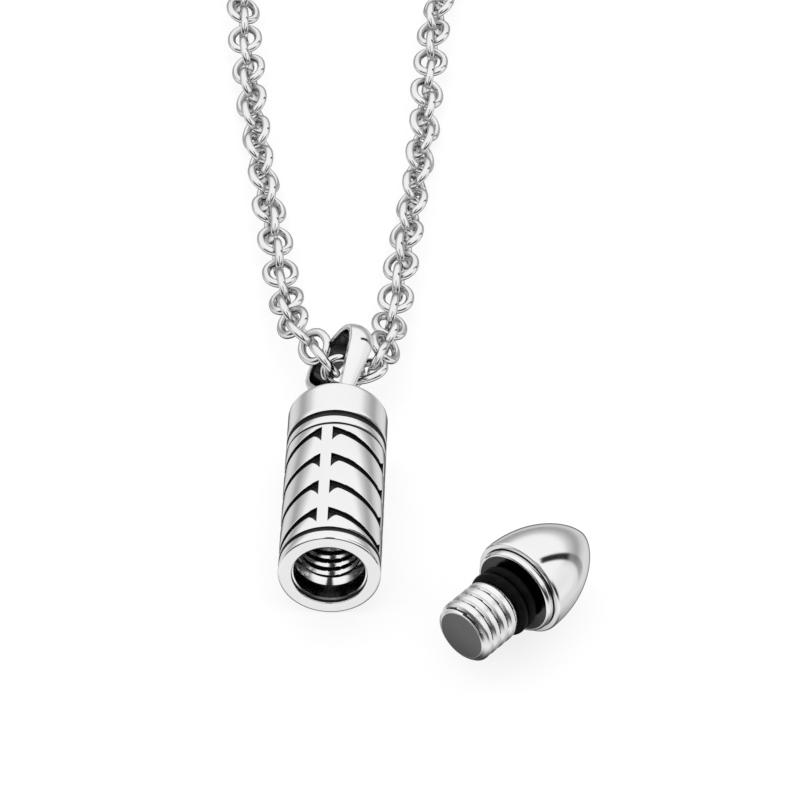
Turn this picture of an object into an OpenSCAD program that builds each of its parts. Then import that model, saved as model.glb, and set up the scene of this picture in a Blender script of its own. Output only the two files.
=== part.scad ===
/* [Barrel] */
// Radius of the barrel and of the cap's base
barrel_r = 5; // [4.8:0.1:5.4]
// Length of the barrel from its mouth to its closed end
barrel_l = 22.8; // [22:0.1:24]
// Bevel on the barrel's two rims
rim_bevel = 0.2; // [0.1:0.05:0.3]
// Depth of the chevron slots
slot_depth = 0.45; // [0.3:0.05:0.6]
// Length along the barrel from one row of slots to the next
slot_pitch = 3.92; // [3.8:0.02:4]
// Distance from the mouth to the peak of the last row of slots
slot_peak_y = 16.2; // [16:0.1:16.3]
// Angle of the first spine between the slots, from the top of the lying barrel
spine_angle = -8.7; // [-20:0.1:20]
/* [Mouth] */
// Radius of the first short step inside the mouth
entry_r = 3.68; // [3.67:0.01:3.72]
// Radius of the seat for the rubber rings
seat_r = 3.5; // [3.45:0.01:3.55]
// Depth at which the seat ends
seat_depth = 2.3; // [2.1:0.05:2.5]
// Radius of the thread's crests in the barrel
bore_r = 2.9; // [2.88:0.01:2.92]
// Radius of the thread's roots in the barrel
bore_root_r = 3.2; // [3.1:0.01:3.25]
// Distance between turns of the thread
thread_pitch = 1.14; // [1.1:0.01:1.18]
// Depth of the chamber from the mouth
chamber_depth = 19; // [17:0.5:20]
/* [Cap] */
// Length of the pointed nose
nose_l = 9.46; // [9:0.01:10]
// Distance along the barrel's side to the cap's base
cap_x = 18.55; // [18:0.05:20]
// Distance of the cap's base from the mouth, along the barrel
cap_y = -1; // [-2:0.1:0]
// Heading of the cap's point, from the right towards the chain
cap_angle = 50.9; // [45:0.1:55]
// Radius of the cap's thread at its crests
stud_r = 3.15; // [3.1:0.01:3.18]
// Outer radius of the rubber rings
o_ring_r = 3.42; // [3.38:0.01:3.44]
// Thickness of a rubber ring
o_ring_d = 1.05; // [1:0.01:1.06]
/* [Bail] */
// Thickness of the bail's band at its edges
bail_t = 0.6; // [0.5:0.05:0.65]
// Extra thickness at the middle of the bail's band
bail_crown = 0.45; // [0.2:0.05:0.5]
// Wire of the eye ring on the barrel's closed end
eye_wire = 1.1; // [1:0.05:1.15]
// Diameter of the eye ring to the middle of its wire
eye_d = 3.9; // [3.8:0.05:4]
/* [Chain] */
// Length of a link
link_l = 4.68; // [4.65:0.01:4.7]
// Width of a link
link_w = 3.85; // [3.8:0.01:3.9]
// Wire of a link
link_wire = 0.87; // [0.84:0.01:0.88]
// Distance from the middle of a link to the middle of the next
link_pitch = 2.78; // [2.76:0.01:2.8]
// Diameter of the clasp's body
clasp_d = 3.8; // [3.6:0.1:3.8]
/* [Hidden] */
fine = 96;
small = 32;
steel = "silver";
floor_h = barrel_r;

// Barrel's pattern: four spines, each quadrant a mirror image of the next
spine_w = 12.5;
slot_span = 90 - spine_w;
slot_rows = 4;
slope = 0.031;
slot_thin = 0.8;
slot_thick = 2;
heel_span = 10.5;
heel_bend = 1.5;
slot_low = 1.7;
cut_clear = 1;

// Turned grooves round the barrel: middle and width of each
grooves = [[1.3, 0.6], [16.65, 0.3], [18.175, 0.85]];

// Steps inside the mouth
entry_depth = 0.85;
entry_bevel = 0.06;
thread_start = 0.55;
barrel_turns = 6;
tip_angle = 59;

// Cap's turned steps, measured from the nose's base towards the thread
base_ring_l = 0.35;
base_groove = 0.2;
base_groove_r = 4.3;
base_chamfer = 0.17;
base_round = 0.02;
collar_l = 1.2;
collar_r = 4.4;
collar_face_r = 4.25;
neck_r = 2.25;
shoulder_l = 3.9;
stud_l = 8.95;
stud_root_r = 2.85;
crest_start = 0.2;
stud_end_r = 2.53;
stud_turns = 4;
first_root = 5.2;
o_ring_places = [2.1, 3.28];

// Eye ring and bail: the bail swings on the top of the eye ring's wire
eye_sink = 0.2;
eye_y = barrel_l + eye_d / 2 + eye_wire / 2 - eye_sink;
swing = [0, eye_y + eye_d / 2, floor_h];
bail_turn = 36.3;
bail_lean = 5.1;
bail_yaw = -1;
bail_tip_r = 1.45;
bail_corner_r = 2.5;
bail_reach = 5.1;
bail_w = 8.2;
bail_tip_half = 0.64;
bail_end_half = 1.4;

// Link shape
bend_r = (link_w - link_wire) / 2;
straight = link_l - link_w;

// Route of the chain from the clasp down the left side, through the bail and up the right side.
// Columns: x, y, height above rest, roll of the links, crowding of the links
route = [
    [-6.9, 287.8, 0, 90, 1],
    [-14, 283.3, 0, 110, 1],
    [-24, 272.3, 0, 135, 1],
    [-31.4, 252.3, 0, 135, 1],
    [-34.4, 224.3, 0, 135, 1],
    [-30.4, 192.3, 0, 135, 1],
    [-24, 156, 0, 135, 1],
    [-17.5, 124, 0, 130, 1],
    [-14.6, 106, 0, 120, 1],
    [-13.6, 96.8, 0, 110, 1],
    [-13.1, 91.2, 0, 85, 1],
    [-12.4, 85.7, 0, 72, 1],
    [-11.8, 80.1, 0, 58, 1],
    [-11, 74.6, 0, 48, 1],
    [-10.2, 69, 0, 39, 1],
    [-9.3, 63.3, 0, 27, 1],
    [-8.5, 58, 0, 14, 1],
    [-7.9, 54.7, 0, 8, 0.99],
    [-7.1, 49.3, 0.1, -2, 1.02],
    [-6.2, 43.9, 0.9, -20, 1.01],
    [-5.1, 38.2, 2.7, -38, 1.03],
    [-2.3, 33.1, 3.5, -41, 1.02],
    [-1.4, 31.3, 3.4, -31, 1.16],
    [0.6, 31.1, 2.2, -67, 1.12],
    [3, 31.6, 2.3, -83, 1.22],
    [4.3, 35.5, 2.2, -131, 1.07],
    [4.6, 40.2, 0.6, -109, 1.08],
    [5.1, 45.1, 0, -93, 1.08],
    [5.5, 50.2, 0.1, -81, 1.04],
    [6.4, 61, 0, -60, 1],
    [7.1, 70.3, 0, -42, 1],
    [7.5, 76, 0, -33, 1],
    [7.6, 81.7, 0, -20, 1],
    [7.9, 87, 0, 0, 1],
    [8.1, 92.6, 0, 17, 1],
    [8.6, 98, 0, 30, 1],
    [10.5, 108, 0, 45, 1],
    [16.2, 124, 0, 45, 1],
    [24, 156, 0, 45, 1],
    [31.6, 192.3, 0, 45, 1],
    [35.6, 224.3, 0, 45, 1],
    [32.4, 252.3, 0, 45, 1],
    [24, 272.3, 0, 45, 1],
    [14, 283.3, 0, 20, 1],
    [6.9, 287.8, 0, 0, 1],
];
steps = 24;
rest_gap = 0.02;

// Height of a link's middle when a pair of links rolled by this angle rests on the floor
function rest_h(roll) = bend_r * max(abs(sin(roll)), abs(cos(roll))) + link_wire / 2 + rest_gap;
function apart(a, b) = norm([b[0] - a[0], b[1] - a[1], b[2] - a[2]]);

// Smooth curve through the route's rows, with tangents weighted by the distance between rows
function gap(i) = apart(route[i], route[i + 1]);
function slope_at(i) =
    i == 0 ? (route[1] - route[0]) / gap(0) :
    i == len(route) - 1 ? (route[i] - route[i - 1]) / gap(i - 1) :
    (route[i + 1] - route[i - 1]) / (gap(i) + gap(i - 1));
function ease(i, u) =
    (2 * u ^ 3 - 3 * u ^ 2 + 1) * route[i] + (u ^ 3 - 2 * u ^ 2 + u) * gap(i) * slope_at(i)
    + (3 * u ^ 2 - 2 * u ^ 3) * route[i + 1] + (u ^ 3 - u ^ 2) * gap(i) * slope_at(i + 1);
curve = [
    for (i = [0 : len(route) - 2]) for (k = [0 : steps - 1]) ease(i, k / steps),
    route[len(route) - 1],
];
path = [for (c = curve) [c[0], c[1], c[2] + rest_h(c[3]), c[3], c[4]]];
travel = [
    for (i = 0, s = 0; i < len(path); s = s + (i < len(path) - 1 ? crowded(i) : 0), i = i + 1) s
];
function crowded(i) = apart(path[i], path[i + 1]) * (path[i][4] + path[i + 1][4]) / 2;
total = travel[len(travel) - 1];
function table(column) = [for (i = [0 : len(path) - 1]) [travel[i], path[i][column]]];
xs = table(0);
ys = table(1);
zs = table(2);
rolls = table(3);
function at(s) = [lookup(s, xs), lookup(s, ys), lookup(s, zs)];

// An even number of links, so that both end links stand upright in the clasp's rings
link_count = 2 * round(total / link_pitch / 2);
step = total / (link_count - 1);
function link_middle(i) = at(i * step);
function link_way(i) = at(min(total, (i + 0.5) * step)) - at(max(0, (i - 0.5) * step));
function link_roll(i) = lookup(i * step, rolls) + 90 * (i % 2);
function heading(way) = atan2(-way[0], way[1]);
function climb(way) = atan2(way[2], norm([way[0], way[1]]));

// How far a link reaches in a direction e from its middle
function link_reach(i, e) =
    let (way = link_way(i) / norm(link_way(i)),
         side = [way[1], -way[0], 0] / norm([way[1], way[0], 0]),
         up = cross(side, way),
         wide = cos(link_roll(i)) * side + sin(link_roll(i)) * up)
    straight / 2 * abs(e * way) + bend_r * norm([e * way, e * wide]) + link_wire / 2;
left_x = min([for (i = [0 : link_count - 1]) link_middle(i)[0] - link_reach(i, [-1, 0, 0])]);
right_x = max([for (i = [0 : link_count - 1]) link_middle(i)[0] + link_reach(i, [1, 0, 0])]);

// Clasp: a plain bar between two rings, each round the wire of an end link
clasp_bevel = 0.5;
clasp_ring_r = 1.5;
clasp_wire = 1;
ring_sink = 0.2;
ring_reach = 2.3;
first_way = link_way(0) / norm(link_way(0));
ring_x = ring_reach * first_way[0] - link_middle(0)[0];
clasp_l = 2 * (ring_x - clasp_ring_r - clasp_wire / 2 + ring_sink);
clasp_y = link_middle(0)[1] - ring_reach * first_way[1];
far_y = clasp_y + max(clasp_ring_r + clasp_wire / 2, clasp_d / 2);
near_y = cap_y - stud_l * sin(cap_angle) - stud_end_r * cos(cap_angle);

// The part's origin: middle of its outline, on the floor
origin = [(left_x + right_x) / 2, (near_y + far_y) / 2, 0];

module at_origin() {
    translate(-origin) children();
}

// Turned outline of the barrel with its mouth at the bottom
module barrel_outline() {
    polygon([
        [0, 0],
        [barrel_r - rim_bevel, 0],
        [barrel_r, rim_bevel],
        [barrel_r, barrel_l - rim_bevel],
        [barrel_r - rim_bevel, barrel_l],
        [0, barrel_l],
    ]);
}

module mouth_outline() {
    polygon([
        [0, -cut_clear],
        [entry_r + entry_bevel, -cut_clear],
        [entry_r + entry_bevel, 0],
        [entry_r, entry_bevel],
        [entry_r, entry_depth - (entry_r - seat_r)],
        [seat_r, entry_depth],
        [seat_r, seat_depth],
        [bore_r, seat_depth],
        [bore_r, chamber_depth],
        [0, chamber_depth + bore_r / tan(tip_angle)],
    ]);
}

module turned_barrel() {
    rotate_extrude($fn = fine) difference() {
        barrel_outline();
        mouth_outline();
        for (g = grooves) translate([barrel_r, g[0]]) circle(d = g[1], $fn = small);
        for (turn = [0 : barrel_turns - 1])
            translate([bore_r, seat_depth + thread_start + turn * thread_pitch])
                circle(r = bore_root_r - bore_r, $fn = small);
    }
}

// Upper and lower edges of a slot, at an angle u from its peak spine. A slot widens at both ends
function flare(u) = (slot_thick - slot_thin) * (1 - max(0, min(1, u / heel_span))) ^ heel_bend;
function slot_top(u) = -slope * u + flare(slot_span - u);
function slot_bottom(u) = -slope * u - slot_thin - flare(u);
function across(u) = barrel_r * sin(u - slot_span / 2);

module slot_band() {
    end_steps = [-2, 0, 2, 4, 6, 8, 10.5];
    stations = concat(
        end_steps,
        [20, 32, 44, 56],
        [for (k = [len(end_steps) - 1 : -1 : 0]) slot_span - end_steps[k]]
    );
    polygon(concat(
        [for (u = stations) [across(u), slot_top(u)]],
        [for (k = [len(stations) - 1 : -1 : 0]) [across(stations[k]), slot_bottom(stations[k])]]
    ));
}

// All slots of one quadrant, cut radially to one depth
module quadrant_slots() {
    intersection() {
        translate([0, 0, slot_low]) linear_extrude(height = barrel_l) difference() {
            polygon([
                [0, 0],
                2 * barrel_r * [-sin(slot_span / 2), cos(slot_span / 2)],
                2 * barrel_r * [0, 1],
                2 * barrel_r * [sin(slot_span / 2), cos(slot_span / 2)],
            ]);
            circle(r = barrel_r - slot_depth, $fn = fine);
        }
        union() for (row = [0 : slot_rows - 1])
            translate([0, barrel_r + cut_clear, slot_peak_y - row * slot_pitch]) rotate([90, 0, 0])
                linear_extrude(height = barrel_r) slot_band();
    }
}

// Seen with the mouth down, an angle on the lying barrel's top is measured from -Y
module slots() {
    for (quarter = [0 : 3])
        rotate([0, 0, 180 + spine_angle + 45 + quarter * 90])
            mirror([(quarter + 1) % 2, 0, 0]) quadrant_slots();
}

module eye_ring() {
    translate([0, eye_y, floor_h]) rotate([0, bail_turn, 0])
        rotate_extrude($fn = fine) translate([eye_d / 2, 0]) circle(d = eye_wire, $fn = small);
}

module lay_barrel() {
    translate([0, 0, floor_h]) rotate([-90, 0, 0]) children();
}

module barrel() {
    color(steel) at_origin() {
        lay_barrel() difference() {
            turned_barrel();
            slots();
        }
        eye_ring();
    }
}

// Cap, turned about Z with the nose up, then laid on its side
function nose_r(s) = barrel_r * (1 - (s / nose_l) ^ 2.05) ^ 0.72;
nose_steps = 20;
nose_tip = 0.985;

module cap_outline() {
    polygon(concat(
        [for (k = [0 : nose_steps]) let (s = nose_l * nose_tip * sin(90 * k / nose_steps)) [nose_r(s), s]],
        [
            [0, nose_l],
            [0, -stud_l],
            [stud_end_r, -stud_l],
            [stud_r, -stud_l + stud_r - stud_end_r],
            [stud_r, -shoulder_l - crest_start],
            [stud_root_r, -shoulder_l],
            [neck_r, -shoulder_l],
            [neck_r, -collar_l],
            [collar_face_r, -collar_l],
            [collar_r, -collar_l + collar_r - collar_face_r],
            [collar_r, -base_ring_l - base_groove],
            [base_groove_r, -base_ring_l - base_groove],
            [base_groove_r, -base_ring_l],
            [barrel_r - base_chamfer, -base_ring_l],
            [barrel_r - base_round, -base_ring_l / 2],
        ]
    ));
}

module lay_cap() {
    translate([cap_x, cap_y, floor_h]) rotate([0, 0, cap_angle - 90]) rotate([-90, 0, 0]) children();
}

module cap() {
    color(steel) at_origin() lay_cap() rotate_extrude($fn = fine) difference() {
        cap_outline();
        for (turn = [0 : stud_turns - 1])
            translate([stud_r, -first_root - turn * thread_pitch])
                circle(r = stud_r - stud_root_r, $fn = small);
    }
}

module o_ring(place) {
    lay_cap() translate([0, 0, -place]) rotate_extrude($fn = fine)
        translate([o_ring_r - o_ring_d / 2, 0]) circle(d = o_ring_d, $fn = small);
}

module o_ring_outer() {
    color("black") at_origin() o_ring(o_ring_places[0]);
}

module o_ring_inner() {
    color("black") at_origin() o_ring(o_ring_places[1]);
}

// Bail: a band swept round the closed outline of its rims, crowned on its outside
tip_middle = [0, 0];
corner_middle = [bail_reach, bail_w / 2 - bail_corner_r];
side_l = norm(corner_middle - tip_middle);
side_angle = atan2(corner_middle[1], corner_middle[0]) + 90 + asin((bail_corner_r - bail_tip_r) / side_l);
tip_turns = 8;
side_turns = 5;
corner_turns = 10;
half_loop = concat(
    [for (k = [0 : tip_turns - 1]) let (a = 180 + (side_angle - 180) * k / tip_turns)
        concat(tip_middle + bail_tip_r * [cos(a), sin(a)], a)],
    [for (k = [0 : side_turns - 1]) let (n = [cos(side_angle), sin(side_angle)], u = k / side_turns)
        concat((1 - u) * (tip_middle + bail_tip_r * n) + u * (corner_middle + bail_corner_r * n), side_angle)],
    [for (k = [0 : corner_turns]) let (a = side_angle * (1 - k / corner_turns))
        concat(corner_middle + bail_corner_r * [cos(a), sin(a)], a)]
);
loop = concat(
    half_loop,
    [for (k = [len(half_loop) - 1 : -1 : 1]) let (p = half_loop[k]) [p[0], -p[1], -p[2]]]
);
function band_half(v) =
    bail_tip_half + (bail_end_half - bail_tip_half) * max(0, min(1, (v + bail_tip_r) / (bail_reach + bail_tip_r)));
crown_steps = [-1, -0.6, 0, 0.6, 1];
section = concat([[-1, -1], [1, -1]], [for (k = [len(crown_steps) - 1 : -1 : 0]) [crown_steps[k], 1]]);

// A point of the band: p is a loop row, q is across the band and in or out
function band_point(p, q) =
    let (out = q[1] < 0 ? -bail_t : bail_crown * (1 - q[0] ^ 2),
         rim = p[0] + out * cos(p[2]),
         rise = p[1] + out * sin(p[2]))
    [band_half(p[0]) * q[0], rim, rise];

module bail() {
    sides = len(section);
    rows = len(loop);
    color(steel) at_origin() translate(swing) rotate([0, bail_turn, 0]) rotate([-bail_lean, 0, 0])
        rotate([0, 0, bail_yaw])
        polyhedron(
            points = [for (p = loop) for (q = section) band_point(p, q)],
            faces = [
                for (i = [0 : rows - 1]) for (j = [0 : sides - 1])
                    let (i2 = (i + 1) % rows, j2 = (j + 1) % sides)
                    [i * sides + j, i * sides + j2, i2 * sides + j2, i2 * sides + j],
            ]
        );
}

module half_bend() {
    rotate_extrude(angle = 180, $fn = small * 2) translate([bend_r, 0]) circle(d = link_wire, $fn = small);
}

// A link lies flat with its length along Y
module link() {
    translate([0, straight / 2, 0]) half_bend();
    translate([0, -straight / 2, 0]) rotate([0, 0, 180]) half_bend();
    for (side = [-1, 1]) translate([side * bend_r, straight / 2, 0]) rotate([90, 0, 0])
        cylinder(d = link_wire, h = straight, $fn = small);
}

module chain() {
    color(steel) at_origin() for (i = [0 : link_count - 1]) {
        way = link_way(i);
        translate(link_middle(i)) rotate([0, 0, heading(way)]) rotate([climb(way), 0, 0])
            rotate([0, -link_roll(i), 0]) link();
    }
}

module clasp() {
    color(steel) at_origin() translate([0, clasp_y, clasp_d / 2]) {
        rotate([0, 90, 0]) rotate_extrude($fn = fine) polygon([
            [0, -clasp_l / 2],
            [clasp_d / 2 - clasp_bevel, -clasp_l / 2],
            [clasp_d / 2, -clasp_l / 2 + clasp_bevel],
            [clasp_d / 2, clasp_l / 2 - clasp_bevel],
            [clasp_d / 2 - clasp_bevel, clasp_l / 2],
            [0, clasp_l / 2],
        ]);
        for (side = [-1, 1]) translate([side * ring_x, 0, 0])
            rotate_extrude($fn = fine) translate([clasp_ring_r, 0]) circle(d = clasp_wire, $fn = small);
    }
}

barrel();
bail();
chain();
clasp();
cap();
o_ring_outer();
o_ring_inner();
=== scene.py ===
import math

import bpy
import numpy as np
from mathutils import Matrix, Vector

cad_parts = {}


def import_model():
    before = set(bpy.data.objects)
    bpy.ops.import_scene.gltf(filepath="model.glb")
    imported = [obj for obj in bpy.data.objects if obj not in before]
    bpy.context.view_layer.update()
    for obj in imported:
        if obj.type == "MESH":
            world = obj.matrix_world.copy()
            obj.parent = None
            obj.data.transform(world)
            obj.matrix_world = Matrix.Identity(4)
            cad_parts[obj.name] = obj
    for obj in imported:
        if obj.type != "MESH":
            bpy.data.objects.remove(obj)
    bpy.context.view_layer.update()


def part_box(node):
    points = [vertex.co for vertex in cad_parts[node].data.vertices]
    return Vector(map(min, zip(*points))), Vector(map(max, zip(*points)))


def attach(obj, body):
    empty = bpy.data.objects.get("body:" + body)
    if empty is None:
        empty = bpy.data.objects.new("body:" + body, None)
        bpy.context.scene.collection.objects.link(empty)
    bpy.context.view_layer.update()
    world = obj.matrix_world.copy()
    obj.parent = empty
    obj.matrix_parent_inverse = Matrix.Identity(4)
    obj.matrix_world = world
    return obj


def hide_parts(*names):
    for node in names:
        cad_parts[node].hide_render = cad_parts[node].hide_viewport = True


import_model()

# ---------------------------------------------------------------- frame
# Everything below is worked out in millimetres, in a frame with the mouth's centre at (0, 0, BARREL_R).
BARREL_R = 5.0
barrel_low, barrel_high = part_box("barrel")
SHIFT = np.array([(barrel_low.x + barrel_high.x) / 2, barrel_low.y, 0.0]) * 1000.0


def to_row(points):
    return (np.asarray(points, float) + SHIFT) / 1000.0


# ---------------------------------------------------------------- materials
def new_material(name):
    m = bpy.data.materials.new(name)
    m.use_nodes = True
    n = m.node_tree.nodes
    return m, n, m.node_tree.links, n["Principled BSDF"]


def noise(n, l, coord, scale, detail=3.0, rough=0.5):
    """Noise over the object's own coordinates, which are in metres."""
    t = n.new("ShaderNodeTexNoise")
    t.inputs["Scale"].default_value = scale
    t.inputs["Detail"].default_value = detail
    t.inputs["Roughness"].default_value = rough
    l.new(coord.outputs["Object"], t.inputs["Vector"])
    return t


def ramp(n, l, source, stops):
    """Colour ramp; each stop is its place and a grey or a colour."""
    r = n.new("ShaderNodeValToRGB")
    e = r.color_ramp.elements
    while len(e) < len(stops):
        e.new(0.5)
    for k, (p, c) in enumerate(stops):
        e[k].position = p
        e[k].color = (c, c, c, 1) if not hasattr(c, "__len__") else (*c, 1)
    l.new(source, r.inputs["Fac"])
    return r


def span(n, l, source, low, high):
    r = n.new("ShaderNodeMapRange")
    r.inputs["To Min"].default_value = low
    r.inputs["To Max"].default_value = high
    l.new(source, r.inputs["Value"])
    return r


def bump_from(n, l, b, source, strength, distance):
    bp = n.new("ShaderNodeBump")
    bp.inputs["Strength"].default_value = strength
    bp.inputs["Distance"].default_value = distance
    l.new(source, bp.inputs["Height"])
    l.new(bp.outputs["Normal"], b.inputs["Normal"])


def metal(name, colour, rough=(0.05, 0.09), bump=0.02, wear_scale=900.0, metallic=1.0, tint=0.03,
          edge=0.45):
    """Polished metal with slight clouding of the polish, hairline scratches and a very fine ripple.

    rough is the range of its roughness, and edge its grey at a glancing view.
    """
    cloud_scale, ripple, rough_from = 120.0, 0.00002, 0.45
    m, n, l, b = new_material(name)
    coord = n.new("ShaderNodeTexCoord")
    cloud = noise(n, l, coord, cloud_scale, 4.0)
    hair = noise(n, l, coord, wear_scale, 5.0, 0.65)
    c = ramp(n, l, cloud.outputs["Fac"], [
        (0.3, [max(0, v * (1 - tint)) for v in colour]),
        (0.7, [min(1, v * (1 + tint * 0.5)) for v in colour]),
    ])
    l.new(c.outputs["Color"], b.inputs["Base Color"])
    mix = n.new("ShaderNodeMath")
    mix.operation = "MULTIPLY"
    l.new(cloud.outputs["Fac"], mix.inputs[0])
    l.new(hair.outputs["Fac"], mix.inputs[1])
    r = span(n, l, mix.outputs[0], *rough)
    r.inputs["From Max"].default_value = rough_from
    l.new(r.outputs["Result"], b.inputs["Roughness"])
    bump_from(n, l, b, hair.outputs["Fac"], bump, ripple)
    b.inputs["Metallic"].default_value = metallic
    b.inputs["Specular Tint"].default_value = (edge, edge, edge, 1)
    return m


def rubber():
    """Black rubber with a fine satin grain."""
    m, n, l, b = new_material("black_rubber")
    coord = n.new("ShaderNodeTexCoord")
    grain = noise(n, l, coord, 1400.0, 4.0)
    c = ramp(n, l, grain.outputs["Fac"], [(0.3, 0.003), (0.7, 0.008)])
    l.new(c.outputs["Color"], b.inputs["Base Color"])
    b.inputs["Specular IOR Level"].default_value = 0.04
    r = span(n, l, grain.outputs["Fac"], 0.38, 0.5)
    l.new(r.outputs["Result"], b.inputs["Roughness"])
    bump_from(n, l, b, grain.outputs["Fac"], 0.15, 0.00001)
    return m


STEEL = metal("polished_steel", (0.75, 0.75, 0.755), edge=0.85)
# near-black steel, painted shade: in the slots and grooves, on the bore's thread except its flank facing the
# mouth, in the stud thread's roots, in a band of the mouth's entry and in the collar's recess
PAINTED_SHADE = metal("painted_shade_steel", (0.035, 0.035, 0.037), rough=(0.25, 0.45), bump=0.2, metallic=0.7, tint=0.3)
SATIN = metal("satin_steel", (0.78, 0.78, 0.79), rough=(0.22, 0.3), bump=0.04, edge=0.8)
BORE = metal("bore_steel", (0.8, 0.8, 0.81), rough=(0.08, 0.14), bump=0.04, edge=0.9)
# the stud's end face: dark steel, painted shade
PAINTED_SHADE_END = metal("stud_end_painted_shade", (0.165, 0.165, 0.168), rough=(0.35, 0.5), bump=0.15)
LINKS = metal("link_steel", (0.72, 0.72, 0.725), rough=(0.04, 0.08), bump=0.03, wear_scale=1500.0, edge=0.4)
# near-black steel, painted shade: the mouth's seat, the cap's neck and the collar's back face, the inside of the
# bail
SHADED = metal("shaded_steel", (0.06, 0.06, 0.062), rough=(0.12, 0.22), bump=0.05, tint=0.1)
RUBBER = rubber()


# ---------------------------------------------------------------- mesh building
class Shape:
    """Collects points (in millimetres), faces and each face's material, and makes one object of them."""

    def __init__(self):
        self.points, self.faces, self.mats, self.count = [], [], [], 0

    def add(self, points, faces, mats=0):
        points = np.asarray(points, float).reshape(-1, 3)
        self.points.append(points)
        self.faces += [tuple(i + self.count for i in f) for f in faces]
        self.mats += [mats] * len(faces) if isinstance(mats, int) else list(mats)
        self.count += len(points)

    def make(self, name, materials, replaces, slot, sharp=38.0):
        mesh = bpy.data.meshes.new(name)
        mesh.from_pydata(to_row(np.concatenate(self.points)).tolist(), [], self.faces)
        for m in materials:
            mesh.materials.append(m)
        mesh.polygons.foreach_set("material_index", self.mats)
        mesh.polygons.foreach_set("use_smooth", [True] * len(self.faces))
        mesh.set_sharp_from_angle(angle=math.radians(sharp))
        mesh.update()
        o = bpy.data.objects.new(name, mesh)
        bpy.context.scene.collection.objects.link(o)
        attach(o, "root")
        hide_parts(*replaces)


def grid(points, wrap_rows=False, poles=True, mats=None):
    """Points, faces and face materials of a grid points[row, column] whose columns go round.

    With poles, the first and last rows are single points. mats has the material of the faces after each row, one
    for all of them or one for each column.
    """
    rows, cols, _ = points.shape
    flat = [points[0, :1], points[1:-1].reshape(-1, 3), points[-1, :1]] if poles else [points.reshape(-1, 3)]

    def index(r, c):
        if not poles:
            return (r % rows) * cols + c % cols
        if r == 0:
            return 0
        return 1 + (rows - 2) * cols if r == rows - 1 else 1 + (r - 1) * cols + c % cols

    faces, face_mats = [], []
    for r in range(rows if wrap_rows else rows - 1):
        for c in range(cols):
            q = [index(r, c), index(r, c + 1), index(r + 1, c + 1), index(r + 1, c)]
            faces.append([v for k, v in enumerate(q) if v != q[k - 1]])
            face_mats.append(0 if mats is None else int(mats[r][c] if hasattr(mats[r], "__len__") else mats[r]))
    return np.concatenate(flat), faces, face_mats


def torus(centre, a, b, major, minor, n, m):
    """Points, faces and face materials of a ring in the plane of a and b."""
    axis = np.cross(a, b)
    t = np.linspace(0, 2 * math.pi, n, endpoint=False)
    f = np.linspace(0, 2 * math.pi, m, endpoint=False)
    out = np.outer(np.cos(t), a) + np.outer(np.sin(t), b)
    far, lift = (major + minor * np.cos(f))[None, :, None], (minor * np.sin(f))[None, :, None]
    return grid(centre + far * out[:, None, :] + lift * axis, wrap_rows=True, poles=False)


def ease(x):
    x = np.clip(x, 0.0, 1.0)
    return x * x * (3 - 2 * x)


# ---------------------------------------------------------------- barrel
SPINE_ANGLE, SPINE_W = -8.7, 12.5
SLOT_SPAN = 90 - SPINE_W
SLOPE, THIN, THICK, HEEL, HEEL_BEND = 0.031, 0.8, 2.0, 10.5, 1.5
SLOT_PEAK, SLOT_PITCH, SLOT_DEPTH, SLOT_LOW, SLOT_ROWS = 16.2, 3.92, 0.45, 1.7, 4
# the turned grooves, from the mouth: middle and radius of each
GROOVE_MOUTH, GROOVE_THIN, GROOVE_WIDE = (1.3, 0.3), (16.65, 0.15), (18.175, 0.425)
THREAD_PITCH = 1.14
BORE_R, THREAD_DEPTH, THREAD_FROM, THREAD_TURNS, THREAD_STEPS = 2.9, 0.32, 2.85, 5.4, 24
# shares of the thread's pitch: the flank facing the mouth, and the start and width of the flank facing the chamber
FLANK, BACK_FROM, BACK_W = 0.27, 0.6, 0.25

# which of the barrel's materials a face has
B_STEEL, B_PAINTED_SHADE, B_BORE, B_SHADE = range(4)
# Rows of the turned form: place from the mouth, radius and, in the mouth, the material of the faces after the row.
# They run from the end of the chamber out to the mouth, and on the outside back to the closed end.
CHAMBER = [(20.6, 0.0), (19.2, 2.6), (19.0, 2.9), (17.0, 2.9), (14.5, 2.9), (12.0, 2.9), (10.5, 2.9), (9.6, 2.9)]
# in the mouth, the seat's wall and a band of the entry have painted shade
MOUTH = [
    (2.8, 2.9, B_BORE), (2.76, 2.92, B_BORE), (2.34, 3.42, B_BORE),
    (2.3, 3.46, B_SHADE), (2.27, 3.5, B_SHADE), (1.6, 3.5, B_SHADE),
    (0.54, 3.5, B_STEEL), (0.5, 3.51, B_STEEL), (0.46, 3.57, B_STEEL), (0.43, 3.65, B_PAINTED_SHADE), (0.4, 3.68, B_PAINTED_SHADE),
    (0.09, 3.68, B_STEEL), (0.05, 3.69, B_STEEL), (0.015, 3.72, B_STEEL), (0.0, 3.76, B_STEEL),
]
FACE_AND_RIM = [
    (0.0, 3.8), (0.0, 4.3), (0.0, 4.74), (0.0, 4.78), (0.025, 4.87), (0.08, 4.95), (0.2, 5.0), (0.6, 5.0),
]
CLOSED_END = [
    (19.3, 5.0), (20.8, 5.0), (22.3, 5.0), (22.6, 5.0), (22.72, 4.95), (22.775, 4.87), (22.8, 4.78), (22.8, 3.0),
    (22.8, 0.0),
]
# across a slot's lower wall: distance in from its edge, share of the depth, material of the faces after the row
SLOT_WALL = [
    (-0.08, 0, B_STEEL), (-0.03, 0.012, B_STEEL), (0, 0.08, B_PAINTED_SHADE), (0.008, 0.93, B_PAINTED_SHADE), (0.05, 1, B_PAINTED_SHADE),
]
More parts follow.
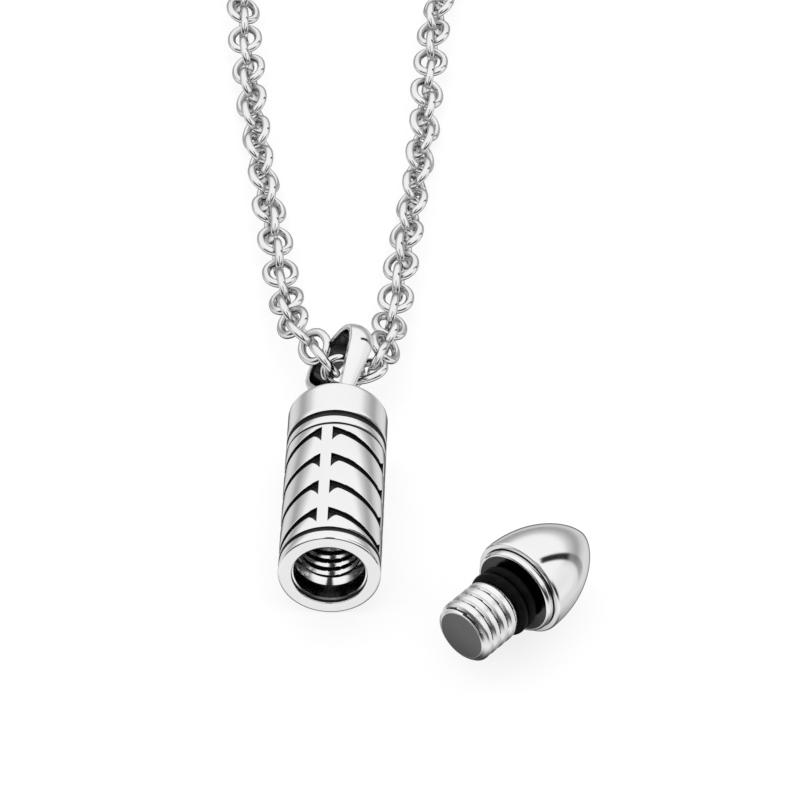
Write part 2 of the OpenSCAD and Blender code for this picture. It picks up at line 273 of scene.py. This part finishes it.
# round from a slot's end: degrees from the spine's edge and share of the depth
SLOT_END = [
    (-0.9, 0), (-0.35, 0), (-0.12, 0.012), (0, 0.08), (0.08, 0.93), (0.3, 1), (1.0, 1), (2.2, 1), (3.6, 1),
    (5.4, 1), (7.4, 1), (9.6, 1),
]
SLOT_MIDDLE = [14, 20, 26, 32, 38.75, 45.5, 51.5, 57.5, 63.5]
EYE_MAJOR, EYE_MINOR = 1.95, 0.55


def flare(u):
    """How much a slot's edge flares near a spine, u degrees away from it."""
    return (THICK - THIN) * (1 - np.clip(u / HEEL, 0, 1)) ** HEEL_BEND


def barrel_columns():
    """Angles round the barrel, each with its place u from the peak spine and its share of the slots' depth."""
    half = SPINE_W / 2
    w = [(0.0, 0.0), (3.0, 0.0)]
    w += [(half + a, f) for a, f in SLOT_END]
    w += [(half + a, 1.0) for a in SLOT_MIDDLE]
    w += [(90 - half - a, f) for a, f in reversed(SLOT_END)]
    w += [(87.0, 0.0)]
    out = []
    for q in range(4):
        for a, f in w:
            u = a - half if q % 2 == 0 else 90 - half - a
            out.append((SPINE_ANGLE + 90 * q + a, min(SLOT_SPAN, max(0.0, u)), f))
    return np.array(out)


def barrel():
    cols = barrel_columns()
    angle, u, share = cols[:, 0], cols[:, 1], cols[:, 2]
    one = np.ones(len(cols))
    rows, mats = [], []     # each row's place and radius for each column, and the material of the faces after it

    def put(y, r, m=B_STEEL):
        rows.append((one * y, one * r))
        mats.append(m)

    def thread():
        last = THREAD_FROM + THREAD_TURNS * THREAD_PITCH
        for k in range(int(THREAD_TURNS * THREAD_STEPS), -1, -1):
            y = THREAD_FROM + k * THREAD_PITCH / THREAD_STEPS
            phase = ((y - THREAD_FROM) / THREAD_PITCH + angle / 360.0) % 1.0
            # a root, the steep flank that faces the mouth, a crest and the flank that faces the chamber
            depth = THREAD_DEPTH * np.where(phase < FLANK, 1 - phase / FLANK, ease((phase - BACK_FROM) / BACK_W))
            fade = ease((y - THREAD_FROM) / 0.25) * ease((last - y) / 0.5)
            # only the flank facing the mouth is bright bore steel; the crest, the other flank and the root have
            # painted shade
            put(y, BORE_R + depth * fade, np.where((phase > 0.03) & (phase < FLANK + 0.02), B_BORE, B_PAINTED_SHADE))

    def groove(c, rad):
        # the faces in the groove have painted shade
        put(c - rad - 0.05, BARREL_R)
        put(c - rad - 0.012, BARREL_R - 0.006, B_PAINTED_SHADE)
        put(c - rad, BARREL_R - 0.02, B_PAINTED_SHADE)
        for a in range(15, 180, 15):
            put(c - rad * math.cos(math.radians(a)), BARREL_R - rad * math.sin(math.radians(a)), B_PAINTED_SHADE)
        put(c + rad, BARREL_R - 0.02)
        put(c + rad + 0.008, BARREL_R - 0.006)
        put(c + rad + 0.02, BARREL_R)

    def slot_row(base):
        """One slot in each quadrant: its lower edge flares at the peak spine, its upper edge at the other."""
        top = base - SLOPE * u + flare(SLOT_SPAN - u)
        low = np.maximum(base - SLOPE * u - THIN - flare(u), SLOT_LOW)
        top = np.maximum(top, SLOT_LOW + 0.1)
        high = top - low
        cut = (share + np.roll(share, -1)) > 0.5
        # the walls and floor of a slot have painted shade
        for d, f, m in SLOT_WALL:
            y = low + np.minimum(d, high * 0.2)
            put(y, BARREL_R - SLOT_DEPTH * np.minimum(f, share), np.where(cut, m, B_STEEL))
        for f in (0.35, 0.65):
            put(low + f * high, BARREL_R - SLOT_DEPTH * share, np.where(cut, B_PAINTED_SHADE, B_STEEL))
        for d, f, _ in reversed(SLOT_WALL):
            y = top - np.minimum(d, high * 0.2)
            m = np.where(cut & (f > 0.5), B_PAINTED_SHADE, B_STEEL)
            put(y, BARREL_R - SLOT_DEPTH * np.minimum(f, share), m)

    for y, r in CHAMBER:
        put(y, r, B_BORE)
    thread()
    for row in MOUTH + FACE_AND_RIM:
        put(*row)
    groove(*GROOVE_MOUTH)
    for k in range(SLOT_ROWS - 1, -1, -1):
        slot_row(SLOT_PEAK - SLOT_PITCH * k)
    groove(*GROOVE_THIN)
    put(17.2, BARREL_R)
    groove(*GROOVE_WIDE)
    for row in CLOSED_END:
        put(*row)
    y, rad = np.array(rows).transpose(1, 0, 2)
    way = np.radians(angle)
    s = Shape()
    points = np.stack([rad * np.sin(way), y, BARREL_R + rad * np.cos(way)], axis=2)
    s.add(*grid(points, mats=mats))
    # eye ring, soldered into the closed end
    turn = math.radians(BAIL_TURN)
    across = np.array([math.cos(turn), 0, -math.sin(turn)])
    s.add(*torus(np.array([0, EYE_Y, BARREL_R]), across, np.array([0, 1.0, 0]), EYE_MAJOR, EYE_MINOR, 96, 28))
    s.make("barrel_shell", [STEEL, PAINTED_SHADE, BORE, SHADED], ["barrel"], "polished_steel")


# ---------------------------------------------------------------- cap
CAP_AT = np.array([18.55, -1.0, 5.0])
CAP_ANGLE = math.radians(50.9)
CAP_WAY = np.array([math.cos(CAP_ANGLE), math.sin(CAP_ANGLE), 0])
CAP_SIDE = np.array([math.sin(CAP_ANGLE), -math.cos(CAP_ANGLE), 0])
UP = np.array([0, 0, 1.0])
NOSE_L, NOSE_BEND, NOSE_FULL, NOSE_ROWS = 9.46, 2.05, 0.72, 48
STUD_L = 8.95
# the stud's thread: its first and last place, the place of a root, its crests' radius and depth, rows a turn
STUD_FROM, STUD_TO, STUD_PHASE, CREST_R, CREST_DEPTH, STUD_STEPS = 4.15, 8.72, 5.2, 3.16, 0.3, 14
# where its crests begin to taper and how steeply, the stud's radius before the thread, and its least radius
TAPER_FROM, TAPER, STUD_R, STUD_MIN_R = 8.45, 0.9, 2.85, 2.5

# which of the cap's materials a face has
C_STEEL, C_PAINTED_SHADE, C_SATIN, C_PAINTED_SHADE_END, C_SHADE = range(5)
# rows as for the barrel, but placed along the axis towards the nose's point
# the recess before the collar, the collar's back face and the neck have painted shade
BASE_AND_COLLAR = [
    (-0.12, 4.995, C_STEEL), (-0.26, 4.96, C_STEEL), (-0.33, 4.89, C_STEEL), (-0.35, 4.8, C_STEEL),
    (-0.35, 4.47, C_PAINTED_SHADE), (-0.38, 4.34, C_PAINTED_SHADE), (-0.43, 4.34, C_PAINTED_SHADE),
    (-0.47, 4.38, C_STEEL), (-0.5, 4.4, C_STEEL), (-0.75, 4.4, C_STEEL), (-1.0, 4.39, C_STEEL),
    (-1.1, 4.34, C_STEEL), (-1.17, 4.25, C_STEEL), (-1.2, 4.1, C_SHADE), (-1.2, 2.35, C_SHADE),
    (-1.28, 2.25, C_SHADE), (-3.82, 2.25, C_SHADE),
    (-3.9, 2.35, C_SATIN), (-3.9, 2.78, C_SATIN), (-3.96, 2.85, C_SATIN),
]
# the stud's end face has painted shade
STUD_TIP = [(-8.86, 2.62, C_SATIN), (-8.93, 2.56, C_SATIN), (-STUD_L, 2.5, C_PAINTED_SHADE_END), (-STUD_L, 0.0, C_PAINTED_SHADE_END)]
# the rubber rings: places behind the nose's base, and radii of the ring and of its section
O_RING_OUTER, O_RING_INNER, O_RING_R, O_RING_SECTION = 2.1, 3.28, 2.895, 0.525


def cap():
    a = np.linspace(0, 2 * math.pi, 128, endpoint=False)
    one = np.ones(len(a))
    rows, mats = [], []

    def put(s, r, m=C_STEEL):
        rows.append((one * s, one * r))
        mats.append(m)

    put(NOSE_L, 0.0)
    for k in range(NOSE_ROWS - 1, -1, -1):
        s = NOSE_L * 0.999 * math.sin(math.pi / 2 * k / NOSE_ROWS)
        put(s, BARREL_R * (1 - (s / NOSE_L) ** NOSE_BEND) ** NOSE_FULL)
    for row in BASE_AND_COLLAR:
        put(*row)
    for k in range(int((STUD_TO - STUD_FROM) / THREAD_PITCH * STUD_STEPS) + 1):
        s = STUD_FROM + k * THREAD_PITCH / STUD_STEPS
        phase = (s - STUD_PHASE) / THREAD_PITCH - a / (2 * math.pi)
        x = np.abs(((phase + 0.5) % 1.0) - 0.5) * 2     # 0 at a root, 1 at a crest
        depth = CREST_DEPTH * (1 - ease((x - 0.06) / 0.5))
        fade = ease((s - STUD_FROM) / 0.3)
        crest = CREST_R - max(0.0, s - TAPER_FROM) * TAPER
        r = np.maximum(STUD_MIN_R, STUD_R * (1 - fade) + fade * (crest - depth))
        # the thread's roots have painted shade
        put(-s, r, np.where(x < 0.16, C_PAINTED_SHADE, C_SATIN))
    for row in STUD_TIP:
        put(*row)
    along, rad = np.array(rows).transpose(1, 0, 2)[..., None]
    s = Shape()
    s.add(*grid(
        CAP_AT + along * CAP_WAY + rad * np.sin(a)[:, None] * CAP_SIDE + rad * np.cos(a)[:, None] * UP, mats=mats
    ))
    s.make("screw_cap", [STEEL, PAINTED_SHADE, SATIN, PAINTED_SHADE_END, SHADED], ["cap"], "polished_steel", sharp=50)


def o_ring(name, place, node):
    s = Shape()
    s.add(*torus(CAP_AT - place * CAP_WAY, CAP_SIDE, UP, O_RING_R, O_RING_SECTION, 128, 32))
    s.make(name, [RUBBER], [node], "black_rubber")


# ---------------------------------------------------------------- bail
EYE_Y = 25.1
SWING = np.array([0, 27.05, 5.0])
BAIL_TURN, BAIL_LEAN, BAIL_YAW = 36.3, 5.1, -1.0
TIP_R, CORNER_R, REACH, BAIL_W = 1.45, 2.5, 5.1, 8.2
BAIL_T, CROWN, TIP_HALF, END_HALF = 0.6, 0.45, 0.64, 1.4
TIP_STEPS, LEG_STEPS, CORNER_STEPS = 18, 14, 26


def bail_axes():
    def about(axis, deg):
        c, s = math.cos(math.radians(deg)), math.sin(math.radians(deg))
        if axis == "x":
            return np.array([[1, 0, 0], [0, c, -s], [0, s, c]])
        if axis == "y":
            return np.array([[c, 0, s], [0, 1, 0], [-s, 0, c]])
        return np.array([[c, -s, 0], [s, c, 0], [0, 0, 1]])

    return about("y", BAIL_TURN) @ about("x", -BAIL_LEAN) @ about("z", BAIL_YAW)


def bail_loop():
    """The teardrop that the band follows: rows of place along the bail, place across it and outward angle."""
    corner = np.array([REACH, BAIL_W / 2 - CORNER_R])
    length = np.linalg.norm(corner)
    side = math.atan2(corner[1], corner[0]) + math.pi / 2 + math.asin((CORNER_R - TIP_R) / length)
    out = np.array([math.cos(side), math.sin(side)])
    half = []
    for k in range(TIP_STEPS):
        a = math.pi + (side - math.pi) * k / TIP_STEPS
        half.append((TIP_R * math.cos(a), TIP_R * math.sin(a), a))
    for k in range(LEG_STEPS):
        f = k / LEG_STEPS
        half.append((*((1 - f) * TIP_R * out + f * (corner + CORNER_R * out)), side))
    for k in range(CORNER_STEPS + 1):
        a = side * (1 - k / CORNER_STEPS)
        half.append((corner[0] + CORNER_R * math.cos(a), corner[1] + CORNER_R * math.sin(a), a))
    return np.array(half + [(x, -y, -a) for x, y, a in half[-2:0:-1]])


def bail():
    loop = bail_loop()
    wide = TIP_HALF + (END_HALF - TIP_HALF) * np.clip((loop[:, 0] + TIP_R) / (REACH + TIP_R), 0, 1)
    # the band's section: share of its half width, and height outwards; flat inside, rounded edges, crowned outside
    inner = [(q, -BAIL_T) for q in (-0.93, -0.6, -0.2, 0.2, 0.6, 0.93)]
    edge = [(0.985, -BAIL_T + 0.03), (1.0, -BAIL_T + 0.1), (1.0, -0.2), (1.0, -0.06), (0.985, 0.0)]
    places = [0.95, 0.88, 0.76, 0.6, 0.4, 0.2, 0.0, -0.2, -0.4, -0.6, -0.76, -0.88, -0.95]
    crown = [(q, CROWN * (1 - q * q)) for q in places]
    sec = np.array(inner + edge + crown + [(-q, h) for q, h in reversed(edge)])
    rot = bail_axes()
    p = np.zeros((len(loop), len(sec), 3))
    for i, (v, z, a) in enumerate(loop):
        local = np.stack([wide[i] * sec[:, 0], v + sec[:, 1] * math.cos(a), z + sec[:, 1] * math.sin(a)], axis=1)
        p[i] = SWING + local @ rot.T
    # the faces inside the loop have the second material, near-black steel with painted shade
    mats = [[1 if c < len(inner) - 1 else 0 for c in range(len(sec))] for _ in loop]
    s = Shape()
    s.add(*grid(p, wrap_rows=True, poles=False, mats=mats))
    s.make("bail_band", [STEEL, SHADED], ["bail"], "polished_steel", sharp=60)


# ---------------------------------------------------------------- chain
LINK_L, LINK_W, WIRE, PITCH = 4.68, 3.85, 0.87, 2.78
BEND_R = (LINK_W - WIRE) / 2
STRAIGHT = LINK_L - LINK_W
HALF_FLANK = 0.3 * STRAIGHT / 2
REST_GAP = 0.02
STEPS = 24
# Links nearer than FINE_TO are in the photo or close to it. Points round half a link, and sides of its wire.
FINE_TO, FINE, COARSE = 104, (23, 20), (13, 10)
# x, y, height above rest, roll of the links, crowding of the links
ROUTE = np.array([
    [-6.9, 287.8, 0, 90, 1],
    [-14, 283.3, 0, 110, 1],
    [-24, 272.3, 0, 135, 1],
    [-31.4, 252.3, 0, 135, 1],
    [-34.4, 224.3, 0, 135, 1],
    [-30.4, 192.3, 0, 135, 1],
    [-24, 156, 0, 135, 1],
    [-17.5, 124, 0, 130, 1],
    [-14.6, 106, 0, 120, 1],
    [-13.6, 96.8, 0, 110, 1],
    [-13.1, 91.2, 0, 85, 1],
    [-12.4, 85.7, 0, 72, 1],
    [-11.8, 80.1, 0, 58, 1],
    [-11, 74.6, 0, 48, 1],
    [-10.2, 69, 0, 39, 1],
    [-9.3, 63.3, 0, 27, 1],
    [-8.5, 58, 0, 14, 1],
    [-7.9, 54.7, 0, 8, 0.99],
    [-7.1, 49.3, 0.1, -2, 1.02],
    [-6.2, 43.9, 0.9, -20, 1.01],
    [-5.1, 38.2, 2.7, -38, 1.03],
    [-2.3, 33.1, 3.5, -41, 1.02],
    [-1.4, 31.3, 3.4, -31, 1.16],
    [0.6, 31.1, 2.2, -67, 1.12],
    [3, 31.6, 2.3, -83, 1.22],
    [4.3, 35.5, 2.2, -131, 1.07],
    [4.6, 40.2, 0.6, -109, 1.08],
    [5.1, 45.1, 0, -93, 1.08],
    [5.5, 50.2, 0.1, -81, 1.04],
    [6.4, 61, 0, -60, 1],
    [7.1, 70.3, 0, -42, 1],
    [7.5, 76, 0, -33, 1],
    [7.6, 81.7, 0, -20, 1],
    [7.9, 87, 0, 0, 1],
    [8.1, 92.6, 0, 17, 1],
    [8.6, 98, 0, 30, 1],
    [10.5, 108, 0, 45, 1],
    [16.2, 124, 0, 45, 1],
    [24, 156, 0, 45, 1],
    [31.6, 192.3, 0, 45, 1],
    [35.6, 224.3, 0, 45, 1],
    [32.4, 252.3, 0, 45, 1],
    [24, 272.3, 0, 45, 1],
    [14, 283.3, 0, 20, 1],
    [6.9, 287.8, 0, 0, 1],
])


def chain_frames():
    """Each link's middle, its long way and its wide way, from the smooth curve through the route's rows."""
    gaps = np.linalg.norm(np.diff(ROUTE[:, :3], axis=0), axis=1)
    last = len(ROUTE) - 1

    def slope_at(i):
        if i == 0:
            return (ROUTE[1] - ROUTE[0]) / gaps[0]
        if i == last:
            return (ROUTE[i] - ROUTE[i - 1]) / gaps[i - 1]
        return (ROUTE[i + 1] - ROUTE[i - 1]) / (gaps[i] + gaps[i - 1])

    curve = []
    for i in range(last):
        for k in range(STEPS):
            u = k / STEPS
            curve.append(
                (2 * u ** 3 - 3 * u ** 2 + 1) * ROUTE[i] + (u ** 3 - 2 * u ** 2 + u) * gaps[i] * slope_at(i)
                + (3 * u ** 2 - 2 * u ** 3) * ROUTE[i + 1] + (u ** 3 - u ** 2) * gaps[i] * slope_at(i + 1)
            )
    curve = np.array(curve + [ROUTE[last]])
    roll = np.radians(curve[:, 3])
    curve[:, 2] += BEND_R * np.maximum(np.abs(np.sin(roll)), np.abs(np.cos(roll))) + WIRE / 2 + REST_GAP
    hop = np.linalg.norm(np.diff(curve[:, :3], axis=0), axis=1) * (curve[1:, 4] + curve[:-1, 4]) / 2
    travel = np.concatenate([[0], np.cumsum(hop)])
    total = travel[-1]
    count = 2 * int(math.floor(total / PITCH / 2 + 0.5))
    step = total / (count - 1)

    def at(s):
        return np.array([np.interp(s, travel, curve[:, k]) for k in range(3)])

    out = []
    for i in range(count):
        way = at(min(total, (i + 0.5) * step)) - at(max(0.0, (i - 0.5) * step))
        way /= np.linalg.norm(way)
        side = np.array([way[1], -way[0], 0])
        side /= np.linalg.norm(side)
        up = np.cross(side, way)
        r = math.radians(np.interp(i * step, travel, curve[:, 3]) + 90 * (i % 2))
        out.append((at(i * step), way, math.cos(r) * side + math.sin(r) * up))
    return out


def link(middle, way, wide, bend, sides):
    """One link: round wire round an oval with short straight flanks, bend points a half turn."""
    face = np.cross(wide, way)
    t = np.linspace(0, math.pi, bend)
    reach = BEND_R + STRAIGHT / 2 - HALF_FLANK
    turn = np.stack([reach * np.cos(t), BEND_R * np.sin(t)], axis=1)
    turn /= np.linalg.norm(turn, axis=1)[:, None]
    # each point's place in the link's plane, then its outward way
    c = np.concatenate([np.stack([BEND_R * np.cos(t), reach * np.sin(t) + HALF_FLANK], axis=1), turn], axis=1)
    c = np.concatenate([c, -c])
    f = np.linspace(0, 2 * math.pi, sides, endpoint=False)
    mid = middle + np.outer(c[:, 0], wide) + np.outer(c[:, 1], way)
    out = np.outer(c[:, 2], wide) + np.outer(c[:, 3], way)
    return mid[:, None, :] + WIRE / 2 * (
        np.cos(f)[None, :, None] * out[:, None, :] + np.sin(f)[None, :, None] * face
    )


def chain(links):
    s = Shape()
    for middle, way, wide in links:
        points = link(middle, way, wide, *(FINE if middle[1] < FINE_TO else COARSE))
        s.add(*grid(points, wrap_rows=True, poles=False))
    s.make("chain_links", [LINKS], ["chain"], "chain_steel")


# ---------------------------------------------------------------- clasp
# how far past the end link's middle the ring's centre is, the ring's radius and wire, and how deep it sinks in
RING_REACH, RING_R, RING_WIRE, RING_SINK = 2.3, 1.5, 1.0, 0.2
BAR_R, BAR_BEVEL = 1.9, 0.5


def clasp(links):
    """A round bar with two shallow grooves and a ring at each end, which takes the chain's end link."""
    middle, way, _ = links[0]
    x = RING_REACH * way[0] - middle[0]
    half = x - RING_R - RING_WIRE / 2 + RING_SINK
    y = middle[1] - RING_REACH * way[1]
    rows = [
        (-half, 0.0), (-half, BAR_R - BAR_BEVEL), (-half + 0.04, BAR_R - BAR_BEVEL + 0.16),
        (-half + 0.16, BAR_R - BAR_BEVEL + 0.34), (-half + BAR_BEVEL, BAR_R), (-half + BAR_BEVEL + 0.3, BAR_R),
        (-0.9, BAR_R), (-0.85, BAR_R - 0.02), (-0.8, BAR_R - 0.1), (-0.6, BAR_R - 0.1), (-0.55, BAR_R - 0.02),
        (-0.5, BAR_R),
    ]
    rows += [(-s, r) for s, r in reversed(rows)]
    a = np.linspace(0, 2 * math.pi, 64, endpoint=False)
    shape = Shape()
    shape.add(*grid(np.array([
        [(s, y + r * math.sin(t), BAR_R + r * math.cos(t)) for t in a] for s, r in rows
    ])))
    for side in (-1, 1):
        centre = np.array([side * x, y, BAR_R])
        ring = torus(centre, np.array([1.0, 0, 0]), np.array([0, 1.0, 0]), RING_R, RING_WIRE / 2, 64, 20)
        shape.add(*ring)
    shape.make("clasp_body", [LINKS], ["clasp"], "chain_steel")


barrel()
cap()
o_ring("o_ring_outer_rubber", O_RING_OUTER, "o_ring_outer")
o_ring("o_ring_inner_rubber", O_RING_INNER, "o_ring_inner")
bail()
chain_links = chain_frames()
chain(chain_links)
clasp(chain_links)


# ---------------------------------------------------------------- floor, light, camera
# the table, in metres: half its side, and how far it lies under the piece
TABLE_HALF, TABLE_DROP = 6.0, 0.00002
TABLE_GLOW = 0.78
# Greys of the sheets by height, from straight down (0) over the horizon (0.5) to straight up (1).
# Below the horizon the sheets stand for the table as the steel reflects it; straight down they are near black, a
# painted shadow of the table under the piece.
BACK_SHEET = [
    (0.0, 0.04), (0.047, 0.2), (0.117, 0.7), (0.172, 0.9), (0.213, 0.95), (0.329, 0.95), (0.413, 0.76),
    (0.456, 0.58), (0.5, 0.5), (0.545, 0.55), (0.587, 0.69), (0.63, 0.84), (0.672, 1.08), (0.71, 1.18),
    (1.0, 1.22),
]
FRONT_SHEET = [
    (0.0, 0.04), (0.047, 0.25), (0.117, 0.9), (0.172, 1.15), (0.3, 1.05), (0.4, 0.3), (0.44, 0.05), (0.57, 0.04),
    (0.66, 0.3), (0.74, 1.1), (1.0, 1.22),
]
SIDE_GREY, DARK_GREY = 1.15, 0.03
# degrees to the right of the back
GAP_TURN = 61
# The camera fitted to the photo: its place in millimetres, its turn to the left and its tilt down, in degrees.
EYE, EYE_TURN, EYE_DROP, LENS = (15.437, -316.005, 303.545), 1.558, 41.111, 202.5


def floor():
    """A lit white table. Most of its light is its own, so what lies on it casts only a faint shadow.

    Reflections don't see it: they see the world's lower half, which has the shading that the photo's steel shows.
    """
    mesh = bpy.data.meshes.new("floor")
    r, z = TABLE_HALF, -TABLE_DROP
    mesh.from_pydata([(-r, -r, z), (r, -r, z), (r, r, z), (-r, r, z)], [], [(0, 1, 2, 3)])
    o = bpy.data.objects.new("floor", mesh)
    bpy.context.scene.collection.objects.link(o)
    m, n, l, b = new_material("floor_white")
    coord = n.new("ShaderNodeTexCoord")
    t = noise(n, l, coord, 2.0)
    c = ramp(n, l, t.outputs["Fac"], [(0.0, 0.25), (1.0, 0.26)])
    l.new(c.outputs["Color"], b.inputs["Base Color"])
    b.inputs["Roughness"].default_value = 0.9
    b.inputs["Specular IOR Level"].default_value = 0.0
    b.inputs["Emission Color"].default_value = (1, 1, 1, 1)
    b.inputs["Emission Strength"].default_value = TABLE_GLOW
    mesh.materials.append(m)
    o.visible_glossy = False


def world():
    """A white tent of lit sheets: the back, greyer about the horizon, the front, dark there, and the two sides.

    Three dark things stand in it: a gap between two sheets, the camera with its stand, and a shade low behind.
    """
    w = bpy.data.worlds.new("studio")
    bpy.context.scene.world = w
    w.use_nodes = True
    n, l = w.node_tree.nodes, w.node_tree.links
    coord = n.new("ShaderNodeTexCoord")

    def math_node(kind, *values):
        m = n.new("ShaderNodeMath")
        m.operation = kind
        for k, v in enumerate(values):
            if isinstance(v, (int, float)):
                m.inputs[k].default_value = v
            else:
                l.new(v, m.inputs[k])
        return m.outputs[0]

    def product(first, *others):
        for other in others:
            first = math_node("MULTIPLY", first, other)
        return first

    def along(x, y, z):
        """How far the line of sight goes along a direction, 1 being straight along it."""
        d = n.new("ShaderNodeVectorMath")
        d.operation = "DOT_PRODUCT"
        l.new(coord.outputs["Generated"], d.inputs[0])
        d.inputs[1].default_value = (x, y, z)
        return d.outputs["Value"]

    def step(source, low, high, start=0.0, end=1.0):
        """A soft step from start to end, while the source goes from low to high."""
        r = n.new("ShaderNodeMapRange")
        r.interpolation_type = "SMOOTHSTEP"
        for name, v in (("From Min", low), ("From Max", high), ("To Min", start), ("To Max", end)):
            r.inputs[name].default_value = v
        l.new(source, r.inputs["Value"])
        return r.outputs["Result"]

    def blend(factor, a, b):
        """Colour a where the factor is 0 and b where it is 1; each is a node's output or a grey."""
        m = n.new("ShaderNodeMix")
        m.data_type = "RGBA"
        l.new(factor, m.inputs["Factor"])
        for name, v in (("A", a), ("B", b)):
            if isinstance(v, float):
                m.inputs[name].default_value = (v, v, v, 1)
            else:
                l.new(v, m.inputs[name])
        return m.outputs["Result"]

    height = math_node("MULTIPLY_ADD", along(0, 0, 1), 0.5, 0.5)
    back = ramp(n, l, height, BACK_SHEET).outputs["Color"]
    front = ramp(n, l, height, FRONT_SHEET).outputs["Color"]
    # the sheets at the two sides are lit more evenly, down to the floor
    right, left = step(along(1, 0, 0), 0.86, 0.96, 0.0, 0.85), step(along(-1, 0, 0), 0.9, 0.98, 0.0, 0.5)
    back = blend(math_node("ADD", right, left), back, SIDE_GREY)
    tent = blend(step(along(0, 1, 0), -0.45, -0.05), front, back)
    # the gap, an upright dark strip to the right at the back
    turn = math.radians(GAP_TURN)
    gap = product(
        step(math_node("ABSOLUTE", along(math.cos(turn), -math.sin(turn), 0)), 0.05, 0.12, 1.0, 0.0),
        step(along(math.sin(turn), math.cos(turn), 0), 0.3, 0.5),
        step(height, 0.55, 0.64, 0.5, 1.0),
        step(height, 0.2, 0.35),
        step(height, 0.87, 0.905, 1.0, 0.0),
    )
    # the dark camera and its stand, in front
    stand = product(
        step(math_node("ABSOLUTE", along(1, 0, 0)), 0.1, 0.19, 1.0, 0.0),
        step(along(0, -1, 0), 0.3, 0.45),
        step(height, 0.66, 0.7),
    )
    # the shade low behind the piece, which draws the dark outlines
    shade = product(step(along(0, 0.755, -0.656), 0.9, 0.97), 0.85)
    dark = math_node("MAXIMUM", math_node("MAXIMUM", gap, stand), shade)
    l.new(blend(dark, tent, DARK_GREY), n["Background"].inputs["Color"])
    n["Background"].inputs["Strength"].default_value = 1.0


def camera():
    turn, drop = math.radians(EYE_TURN), math.radians(EYE_DROP)
    way = Vector((-math.sin(turn) * math.cos(drop), math.cos(turn) * math.cos(drop), -math.sin(drop)))
    data = bpy.data.cameras.new("camera")
    data.lens = LENS
    data.sensor_width = 36.0
    data.clip_start = 0.01
    data.clip_end = 50.0
    o = bpy.data.objects.new("camera", data)
    o.location = to_row(EYE)
    o.rotation_euler = way.to_track_quat("-Z", "Y").to_euler()
    bpy.context.scene.collection.objects.link(o)
    bpy.context.scene.camera = o


floor()
world()
camera()
bpy.context.scene.view_settings.view_transform = "Standard"
